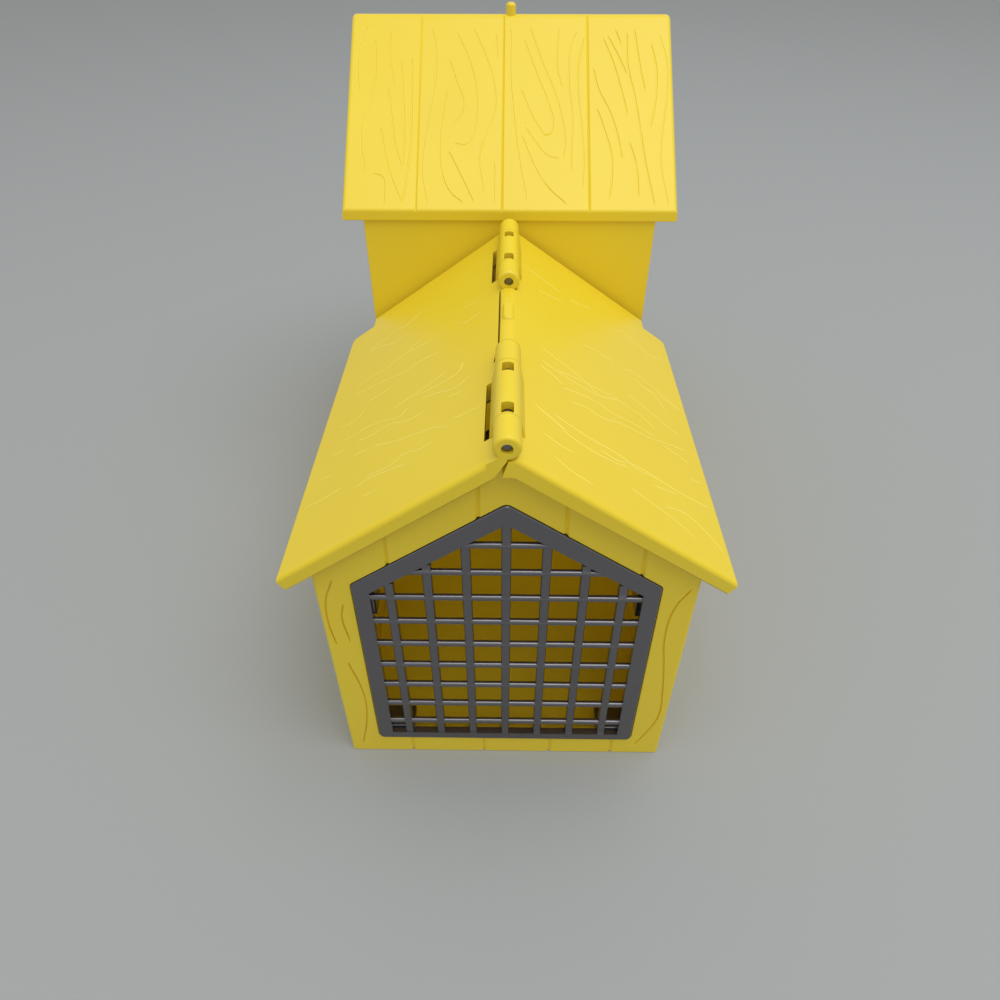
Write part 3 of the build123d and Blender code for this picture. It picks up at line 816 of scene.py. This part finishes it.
def wall_place(node, side):
    """A wall's outer face as seen from outside: x to the right, y up. side is -x, +x, -y or +y."""
    low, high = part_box(node)
    if side == "-y":
        return axes((1, 0, 0), (0, 0, 1), (0, -1, 0), (0, low.y, 0))
    if side == "+y":
        return axes((-1, 0, 0), (0, 0, 1), (0, 1, 0), (0, high.y, 0))
    if side == "-x":
        return axes((0, -1, 0), (0, 0, 1), (-1, 0, 0), (low.x, 0, 0))
    return axes((0, 1, 0), (0, 0, 1), (1, 0, 0), (high.x, 0, 0))


def plank_grain(pattern, left, right, flip):
    """One front plank's grain, stretched to fit a plank of the back slope between these edges."""
    low, high = HOUSE_PLANK_EDGES[pattern : pattern + 2]
    strokes = []
    for stroke in HOUSE_ROOF_GRAIN[pattern]:
        drawn = []
        for x, y in stroke:
            across = min(max((x - low) / (high - low), PLANK_MARGIN), 1 - PLANK_MARGIN)
            if flip:
                across = 1 - across
            up = y / FRONT_PLANK_LENGTH * BACK_PLANK_LENGTH
            drawn.append((left + across * (right - left), up))
        strokes.append(drawn)
    return strokes


def side_board_edges(front, last):
    """Edges of a side wall's boards, from its front corner to its last edge."""
    joints = [front + WALL_BOARD_WIDTH * step for step in range(1, SIDE_BOARD_COUNT)]
    return [front + WALL_THICKNESS, *joints, last]


def level_boards(node, edges, headroom):
    """A wall's boards between these edges, each with its left edge, right edge and top.

    Their tops lie this far below the top of the wall.
    """
    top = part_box(node)[1].z / MM - headroom
    return [(left, right, top) for left, right in zip(edges, edges[1:])]


def mirrored(boards):
    """The same boards on the wall across the building, as seen from outside."""
    return [(-right, -left, top) for left, right, top in boards]


def board_grain(boards):
    """Grain for a row of upright boards. A tall one gets two drawings, one above the other."""
    width, height = BOARD_SIZE
    strokes = []
    for index, (left, right, top) in enumerate(boards):
        storeys = round((top - BOARD_FOOT) / height)
        rise = (top - BOARD_FOOT) / storeys
        for storey in range(storeys):
            pattern = BOARD_GRAIN[(index + 2 * storey) % len(BOARD_GRAIN)]
            turned = (index // 2 + storey) % 2
            for stroke in pattern:
                drawn = []
                for x, z in stroke:
                    across = 1 - x / width if turned else x / width
                    up = BOARD_FOOT + (storey + z / height) * rise
                    drawn.append((left + across * (right - left), up))
                strokes.append(drawn)
    return strokes


def panel_shape(node):
    """A wall's or floor's shape with softened edges."""
    shape = joined_copy(node)
    soften_edges(shape, sharp_edges(shape), bpy.context.scene.coop_sizes.edge_softness)
    return shape


def engraved_panel(node, name, shape, strokes, place):
    """A yellow panel of this shape with wood grain engraved on its outer face."""
    sizes = bpy.context.scene.coop_sizes
    piece = new_piece(name, shape)
    engrave(piece, drawn_grooves(strokes, place, sizes.grain_width, sizes.grain_depth))
    fit_piece(piece, node, YELLOW_SLOT)
    return piece


def engraved_walls(walls):
    """Wall panels with grain on their boards, each given by node, name, facing side and boards."""
    for node, name, side, boards in walls:
        engraved_panel(node, name, panel_shape(node), board_grain(boards), wall_place(node, side))


def house_slope(node, name, facing, strokes, place):
    """One slope of the house's roof, softened under its eave and gable edges, and engraved."""
    shape = joined_copy(node)
    underside = Vector((0, -facing * sin(HOUSE_SLOPE), -cos(HOUSE_SLOPE)))
    edges = []
    for outward in ((1, 0, 0), (-1, 0, 0), (0, facing, 0)):
        edges += meeting_edges(shape, underside, Vector(outward))
    soften_edges(shape, edges, bpy.context.scene.coop_sizes.roof_softness, segments=3)
    piece = engraved_panel(node, name, shape, strokes, place)
    low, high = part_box(node)
    foot = Vector((0, low.y if facing < 0 else high.y, HOUSE_EAVE))
    sides = [
        (Vector((0, facing, 0)), foot),
        (Vector((-1, 0, 0)), low),
        (Vector((1, 0, 0)), high),
    ]
    top = Vector((0, facing * sin(HOUSE_SLOPE), cos(HOUSE_SLOPE)))
    ridge = Vector((0, high.y if facing < 0 else low.y, high.z - HOUSE_RIDGE_ROUND))
    ridge_round = (Vector((1, 0, 0)), ridge, HOUSE_RIDGE_ROUND)
    shade_roof(piece, (top, foot), sides, HOUSE_ROOF_ROUND, [ridge_round])


def corner_places(mesh, face):
    """Each corner of a face with its place."""
    for corner in face.loop_indices:
        yield corner, mesh.vertices[mesh.loops[corner].vertex_index].co


def shade_cylinder(mesh, normals, axis, centre, radius, tolerance=SKIN_TOLERANCE):
    """Turns the shading of a cylinder's skin straight out from its axis, also by a hole in it."""
    for face in mesh.polygons:
        if abs(face.normal.dot(axis)) > SKIN_LEAN:
            continue
        outward = {}
        for corner, place in corner_places(mesh, face):
            arm = place - centre
            outward[corner] = arm - arm.dot(axis) * axis
        if all(abs(arm.length - radius) < tolerance for arm in outward.values()):
            for corner, arm in outward.items():
                normals[corner] = arm.normalized()


def shade_rounding(mesh, normals, top, side, radius):
    """Shades the rounding between a panel's top and one side as a true arc.

    top and side each hold a face's direction and a place on it.
    """
    (up, top_place), (out, side_place) = top, side
    along_edge = up.cross(out).normalized()
    lean = up.dot(out)
    for face in mesh.polygons:
        flat = max(face.normal.dot(up), face.normal.dot(out)) > FLAT_COSINE
        if flat or abs(face.normal.dot(along_edge)) > ARC_LEAN:
            continue
        arc = {}
        for corner, place in corner_places(mesh, face):
            high = 1 - (top_place - place).dot(up) / radius
            wide = 1 - (side_place - place).dot(out) / radius
            if max(abs(high - 0.5), abs(wide - 0.5)) < 0.5 + ARC_MARGIN:
                arc[corner] = (high - lean * wide) * up + (wide - lean * high) * out
        if len(arc) == face.loop_total:
            for corner, normal in arc.items():
                normals[corner] = normal.normalized()


def even_normals(piece):
    """A piece's own corner normals as its modifier evens them. The modifier has done its work."""
    shaded = piece.evaluated_get(bpy.context.evaluated_depsgraph_get()).data
    normals = [corner.vector.copy() for corner in shaded.corner_normals]
    piece.modifiers.clear()
    return normals


def shade_roof(piece, top, sides, radius, cylinders):
    """Gives a roof panel even shading on its flat faces, its rounded edges and its cylinders."""
    normals = even_normals(piece)
    for side in sides:
        shade_rounding(piece.data, normals, top, side, radius)
    for axis, centre, size in cylinders:
        shade_cylinder(piece.data, normals, axis, centre, size)
    piece.data.normals_split_custom_set(normals)


def set_up(name, data, place):
    """An object in the scene that holds a lamp or a camera at a place."""
    thing = bpy.data.objects.new(name, data)
    thing.location = place
    bpy.context.scene.collection.objects.link(thing)
    return thing


def day_sky(strength, backdrop):
    """A world with even white light from all round, and a backdrop for what is seen of it."""
    world = bpy.data.worlds.new("Sky")
    world.use_nodes = True
    tree = world.node_tree
    tree.nodes.clear()
    light = add_node(
        tree, "ShaderNodeBackground", {"Color": (1.0, 1.0, 1.0, 1.0), "Strength": strength}
    )
    behind = add_node(tree, "ShaderNodeBackground", {"Color": rgba(backdrop), "Strength": 1.0})
    # The steel and the metallic pigment show the same backdrop that the camera sees
    rays = add_node(tree, "ShaderNodeLightPath")
    seen = rays.outputs["Is Camera Ray"]
    for kind in ("Is Glossy Ray", "Is Transmission Ray"):
        either = {0: seen, 1: rays.outputs[kind]}
        seen = add_node(tree, "ShaderNodeMath", either, operation="MAXIMUM").outputs["Value"]
    mixed = add_node(
        tree,
        "ShaderNodeMixShader",
        {"Fac": seen, 1: light.outputs["Background"], 2: behind.outputs["Background"]},
    )
    add_node(tree, "ShaderNodeOutputWorld", {"Surface": mixed.outputs["Shader"]})
    return world


class COOP_OT_house_roof(bpy.types.Operator):
    """Engrave both slopes of the house's roof, plank by plank"""

    bl_idname = "coop.house_roof"
    bl_label = "House roof"

    def execute(self, context):
        front = axes(
            (1, 0, 0),
            (0, cos(HOUSE_SLOPE), sin(HOUSE_SLOPE)),
            (0, -sin(HOUSE_SLOPE), cos(HOUSE_SLOPE)),
            (0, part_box("house_front_roof")[0].y, HOUSE_EAVE),
        )
        grain = [stroke for plank in HOUSE_ROOF_GRAIN for stroke in plank]
        house_slope("house_front_roof", "house_front_slope", -1, grain, front)
        back = axes(
            (-1, 0, 0),
            (0, -cos(HOUSE_SLOPE), sin(HOUSE_SLOPE)),
            (0, sin(HOUSE_SLOPE), cos(HOUSE_SLOPE)),
            (0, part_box("house_back_roof")[1].y, HOUSE_EAVE),
        )
        grain = []
        edges = [-edge for edge in reversed(HOUSE_PLANK_EDGES)]
        for index, pattern in enumerate(BACK_PLANKS):
            grain += plank_grain(pattern, edges[index], edges[index + 1], index % 2)
        house_slope("house_back_roof", "house_back_slope", 1, grain, back)
        return {"FINISHED"}


class COOP_OT_run_roof(bpy.types.Operator):
    """Draw the fine wood streaks on both panels of the run's roof"""

    bl_idname = "coop.run_roof"
    bl_label = "Run roof"

    def execute(self, context):
        sizes = context.scene.coop_sizes
        panels = (
            ("fixed_roof_panel", "fixed_roof_leaf", RIGHT_STREAKS, 1),
            ("hinged_roof_panel", "hinged_roof_leaf", LEFT_STREAKS, -1),
        )
        for node, name, streaks, side in panels:
            down_slope = Vector((side * cos(RUN_SLOPE), 0, -sin(RUN_SLOPE)))
            outward = Vector((side * sin(RUN_SLOPE), 0, cos(RUN_SLOPE)))
            place = axes((0, 1, 0), down_slope, outward, (0, RUN_ROOF_FRONT, RUN_RIDGE))
            shape = joined_copy(node)
            edges = meeting_edges(shape, -outward, Vector((0, -1, 0)))
            edges += meeting_edges(shape, -outward, down_slope)
            soften_edges(shape, edges, sizes.roof_softness, segments=3)
            piece = new_piece(name, shape)
            cutter = drawn_grooves(streaks, place, sizes.streak_width, sizes.streak_depth)
            # The streaks' faces come from the cutter, whose finish is the second one: a paler
            # yellow that is a painted highlight along each streak
            for mesh in (piece.data, cutter.data):
                mesh.materials.append(finish(FINISHES[YELLOW_SLOT]))
                mesh.materials.append(finish(PAINTED_HIGHLIGHT))
            cutter.data.polygons.foreach_set("material_index", [1] * len(cutter.data.polygons))
            engrave(piece, cutter)
            finishes = [face.material_index for face in piece.data.polygons]
            fit_piece(piece, node, YELLOW_SLOT)
            piece.data.materials.append(finish(PAINTED_HIGHLIGHT))
            piece.data.polygons.foreach_set("material_index", finishes)
            low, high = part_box(node)
            eave = Vector((side * RUN_EAVE, 0, RUN_RIDGE - RUN_EAVE * tan(RUN_SLOPE)))
            shoulder = Vector((0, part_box("house_front_wall")[0].y - SHOULDER_SETBACK, 0))
            sides = [
                (Vector((0, -1, 0)), low),
                (down_slope, eave),
                (Vector((0, 1, 0)), shoulder),
                (Vector((0, 1, 0)), high),
                (Vector((side, 0, 0)), Vector((side * TONGUE_HALF_WIDTH, 0, 0))),
            ]
            lengthwise = Vector((0, 1, 0))
            ridge = RUN_RIDGE - RUN_RIDGE_ROUND / cos(RUN_SLOPE)
            cylinders = [
                (lengthwise, Vector((0, 0, HINGE_HEIGHT)), KNUCKLE_RADIUS),
                (lengthwise, Vector((0, 0, ridge)), RUN_RIDGE_ROUND),
            ]
            shade_roof(piece, (outward, eave), sides, RUN_ROOF_ROUND, cylinders)
        return {"FINISHED"}


class COOP_OT_front_wall(bpy.types.Operator):
    """Engrave the front wall beside the wire front"""

    bl_idname = "coop.front_wall"
    bl_label = "Front wall"

    def execute(self, context):
        sizes = context.scene.coop_sizes
        width, depth = sizes.front_grain_width, sizes.front_grain_depth
        piece = new_piece("front_wall_panel", panel_shape("front_wall"))
        place = wall_place("front_wall", "-y")
        engrave(piece, drawn_grooves(FRONT_WALL_GRAIN, place, width, depth))
        fit_piece(piece, "front_wall", YELLOW_SLOT)
        return {"FINISHED"}


class COOP_OT_run_sides(bpy.types.Operator):
    """Engrave the run's side walls, board by board"""

    bl_idname = "coop.run_sides"
    bl_label = "Run sides"

    def execute(self, context):
        front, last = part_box("front_wall")[0].y / MM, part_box("house_front_wall")[0].y / MM
        edges = side_board_edges(front, last)
        left_boards = mirrored(level_boards("run_left_wall", edges, RUN_HEADROOM))
        right_boards = level_boards("run_right_wall", edges, RUN_HEADROOM)
        engraved_walls(
            (
                ("run_left_wall", "run_left_panel", "-x", left_boards),
                ("run_right_wall", "run_right_panel", "+x", right_boards),
            )
        )
        return {"FINISHED"}


class COOP_OT_house_walls(bpy.types.Operator):
    """Engrave the house's gable walls and its back wall, board by board"""

    bl_idname = "coop.house_walls"
    bl_label = "House walls"

    def execute(self, context):
        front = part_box("house_front_wall")[0].y / MM
        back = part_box("house_back_wall")[1].y / MM
        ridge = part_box("house_front_roof")[1].y / MM
        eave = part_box("house_front_roof")[0].y / MM
        peak = (HOUSE_EAVE - HOUSE_ROOF_THICKNESS / cos(HOUSE_SLOPE)) / MM
        peak += (ridge - eave) * tan(HOUSE_SLOPE)
        edges = side_board_edges(front, back - WALL_THICKNESS)
        boards = []
        for left, right in zip(edges, edges[1:]):
            furthest = max(abs(left - ridge), abs(right - ridge))
            boards.append((left, right, peak - furthest * tan(HOUSE_SLOPE) - GABLE_HEADROOM))
        half_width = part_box("house_back_wall")[1].x / MM
        edges = [-half_width, *(-edge for edge in HOUSE_PLANK_EDGES[3:0:-1]), half_width]
        back_boards = level_boards("house_back_wall", edges, BACK_HEADROOM)
        engraved_walls(
            (
                ("house_left_wall", "house_left_panel", "-x", mirrored(boards)),
                ("house_right_wall", "house_right_panel", "+x", boards),
                ("house_back_wall", "house_back_panel", "+y", back_boards),
            )
        )
        return {"FINISHED"}


class COOP_OT_plain_panels(bpy.types.Operator):
    """Soften the edges of the panels that have no grain"""

    bl_idname = "coop.plain_panels"
    bl_label = "Plain panels"

    def execute(self, context):
        plain = (
            ("house_front_wall", "house_front_wall_panel"),
            ("run_floor", "run_floor_plate"),
            ("house_floor", "house_floor_plate"),
        )
        for node, name in plain:
            fit_piece(new_piece(name, panel_shape(node)), node, YELLOW_SLOT)
        return {"FINISHED"}


class COOP_OT_wire_front(bpy.types.Operator):
    """Smooth the bars of the wire front"""

    bl_idname = "coop.wire_front"
    bl_label = "Wire front"

    def execute(self, context):
        piece = new_piece("wire_front", joined_copy("front_grille"))
        fit_piece(piece, "front_grille", GREY_SLOT)
        normals = even_normals(piece)
        low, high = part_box("front_grille")
        forward = Vector((0, -1, 0))
        frame_face = (forward, low)
        column_face = (forward, low - COLUMN_SETBACK * forward)
        rise = (high.z - GRILLE_SHOULDER) / high.x
        for side in (-1, 1):
            across = Vector((side, 0, 0))
            slope = Vector((side * rise, 0, 1)).normalized()
            for edge in (
                (across, high.x * across),
                (slope, Vector((0, 0, high.z))),
                (Vector((0, 0, -1)), low),
            ):
                shade_rounding(piece.data, normals, frame_face, edge, GRILLE_CHAMFER)
            for column in range(COLUMN_COUNT):
                middle = COLUMN_PITCH * (column - (COLUMN_COUNT - 1) / 2)
                edge = (across, Vector((middle + side * COLUMN_WIDTH / 2, 0, 0)))
                shade_rounding(piece.data, normals, column_face, edge, COLUMN_BEVEL)
        along_row = Vector((1, 0, 0))
        for row in range(ROW_COUNT):
            centre = Vector((0, low.y + GRILLE_THICKNESS / 2, ROW_START + ROW_PITCH * row))
            shade_cylinder(piece.data, normals, along_row, centre, ROW_RADIUS, ROW_TOLERANCE)
        piece.data.normals_split_custom_set(normals)
        return {"FINISHED"}


class COOP_OT_hinge_pins(bpy.types.Operator):
    """Turn the hinge pins, with a chamfer at each end"""

    bl_idname = "coop.hinge_pins"
    bl_label = "Hinge pins"

    def execute(self, context):
        for node, name in (("front_hinge_pin", "front_pin"), ("rear_hinge_pin", "rear_pin")):
            low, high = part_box(node)
            radius = (high.x - low.x) / 2
            shape = bmesh.new()
            bmesh.ops.create_cone(
                shape,
                cap_ends=True,
                segments=PIN_SIDES,
                radius1=radius,
                radius2=radius,
                depth=high.y - low.y,
                matrix=Matrix.Translation((low + high) / 2) @ Matrix.Rotation(pi / 2, 4, "X"),
            )
            soften_edges(shape, sharp_edges(shape), context.scene.coop_sizes.pin_chamfer)
            fit_piece(new_piece(name, shape), node, STEEL_SLOT)
        return {"FINISHED"}


class COOP_OT_ridge_peg(bpy.types.Operator):
    """Smooth the peg on the house's ridge"""

    bl_idname = "coop.ridge_peg"
    bl_label = "Ridge peg"

    def execute(self, context):
        piece = new_piece("ridge_peg_pin", joined_copy("ridge_peg"))
        fit_piece(piece, "ridge_peg", YELLOW_SLOT)
        return {"FINISHED"}


class COOP_OT_studio(bpy.types.Operator):
    """Set out the floor, the lamp, the sky and the camera"""

    bl_idname = "coop.studio"
    bl_label = "Studio"

    def execute(self, context):
        scene = context.scene
        studio = scene.coop_studio
        shape = bmesh.new()
        bmesh.ops.create_circle(
            shape,
            cap_ends=True,
            segments=FLOOR_SIDES,
            radius=studio.floor_radius,
            matrix=Matrix.Translation((0, 0, -FLOOR_DROP)),
        )
        floor = new_piece("floor", shape)
        floor.data.materials.append(matt_paint("floor_paint_rolled", scene.coop_colours.floor))

        lamp = bpy.data.lights.new("Key", "AREA")
        lamp.shape = "SQUARE"
        lamp.size = studio.key_size
        lamp.energy = studio.key_power
        key = set_up("Key", lamp, studio.key_place)
        key.rotation_mode = "QUATERNION"
        key.rotation_quaternion = (-Vector(studio.key_place)).to_track_quat("-Z", "Y")

        # The light that the real roof's thin plastic lets through onto the run's floor
        glow = bpy.data.lights.new("Glow", "AREA")
        glow.shape = "RECTANGLE"
        glow.size, glow.size_y = GLOW_SIZE
        glow.energy = studio.glow_power
        glow.color = scene.coop_colours.glow
        inner = set_up("Glow", glow, GLOW_PLACE)
        inner.visible_camera = False
        inner.visible_glossy = False

        lens = bpy.data.cameras.new("Camera")
        lens.sensor_width = 36.0
        lens.lens = studio.camera_lens
        camera = set_up("Camera", lens, studio.camera_place)
        camera.rotation_euler = (pi / 2 - studio.camera_pitch, 0.0, studio.camera_turn)
        scene.camera = camera
        scene.world = day_sky(studio.sky_strength, scene.coop_colours.backdrop)
        scene.view_settings.view_transform = "Standard"
        return {"FINISHED"}


class COOP_PT_panel(bpy.types.Panel):
    """Lists the coop's pieces in the order that they are made"""

    bl_idname = "COOP_PT_panel"
    bl_label = "Coop"
    bl_space_type = "VIEW_3D"
    bl_region_type = "UI"
    bl_category = "Coop"

    def draw(self, context):
        for operator in PIECE_OPERATORS:
            self.layout.operator(operator.bl_idname)


PIECE_OPERATORS = (
    COOP_OT_house_roof,
    COOP_OT_run_roof,
    COOP_OT_front_wall,
    COOP_OT_run_sides,
    COOP_OT_house_walls,
    COOP_OT_plain_panels,
    COOP_OT_wire_front,
    COOP_OT_hinge_pins,
    COOP_OT_ridge_peg,
    COOP_OT_studio,
)
CLASSES = (CoopSizes, CoopColours, StudioSettings, *PIECE_OPERATORS, COOP_PT_panel)


def register():
    """Registers the classes, and hangs the settings on the scene."""
    for item in CLASSES:
        bpy.utils.register_class(item)
    bpy.types.Scene.coop_sizes = bpy.props.PointerProperty(type=CoopSizes)
    bpy.types.Scene.coop_colours = bpy.props.PointerProperty(type=CoopColours)
    bpy.types.Scene.coop_studio = bpy.props.PointerProperty(type=StudioSettings)


def unregister():
    """Takes the settings off the scene, and the classes with them."""
    del bpy.types.Scene.coop_studio
    del bpy.types.Scene.coop_colours
    del bpy.types.Scene.coop_sizes
    for item in reversed(CLASSES):
        bpy.utils.unregister_class(item)


def main():
    """Makes every piece and the stage in order."""
    register()
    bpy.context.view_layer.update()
    bpy.ops.coop.house_roof()
    bpy.ops.coop.run_roof()
    bpy.ops.coop.front_wall()
    bpy.ops.coop.run_sides()
    bpy.ops.coop.house_walls()
    bpy.ops.coop.plain_panels()
    bpy.ops.coop.wire_front()
    bpy.ops.coop.hinge_pins()
    bpy.ops.coop.ridge_peg()
    bpy.ops.coop.studio()


if __name__ == "__main__":
    main()
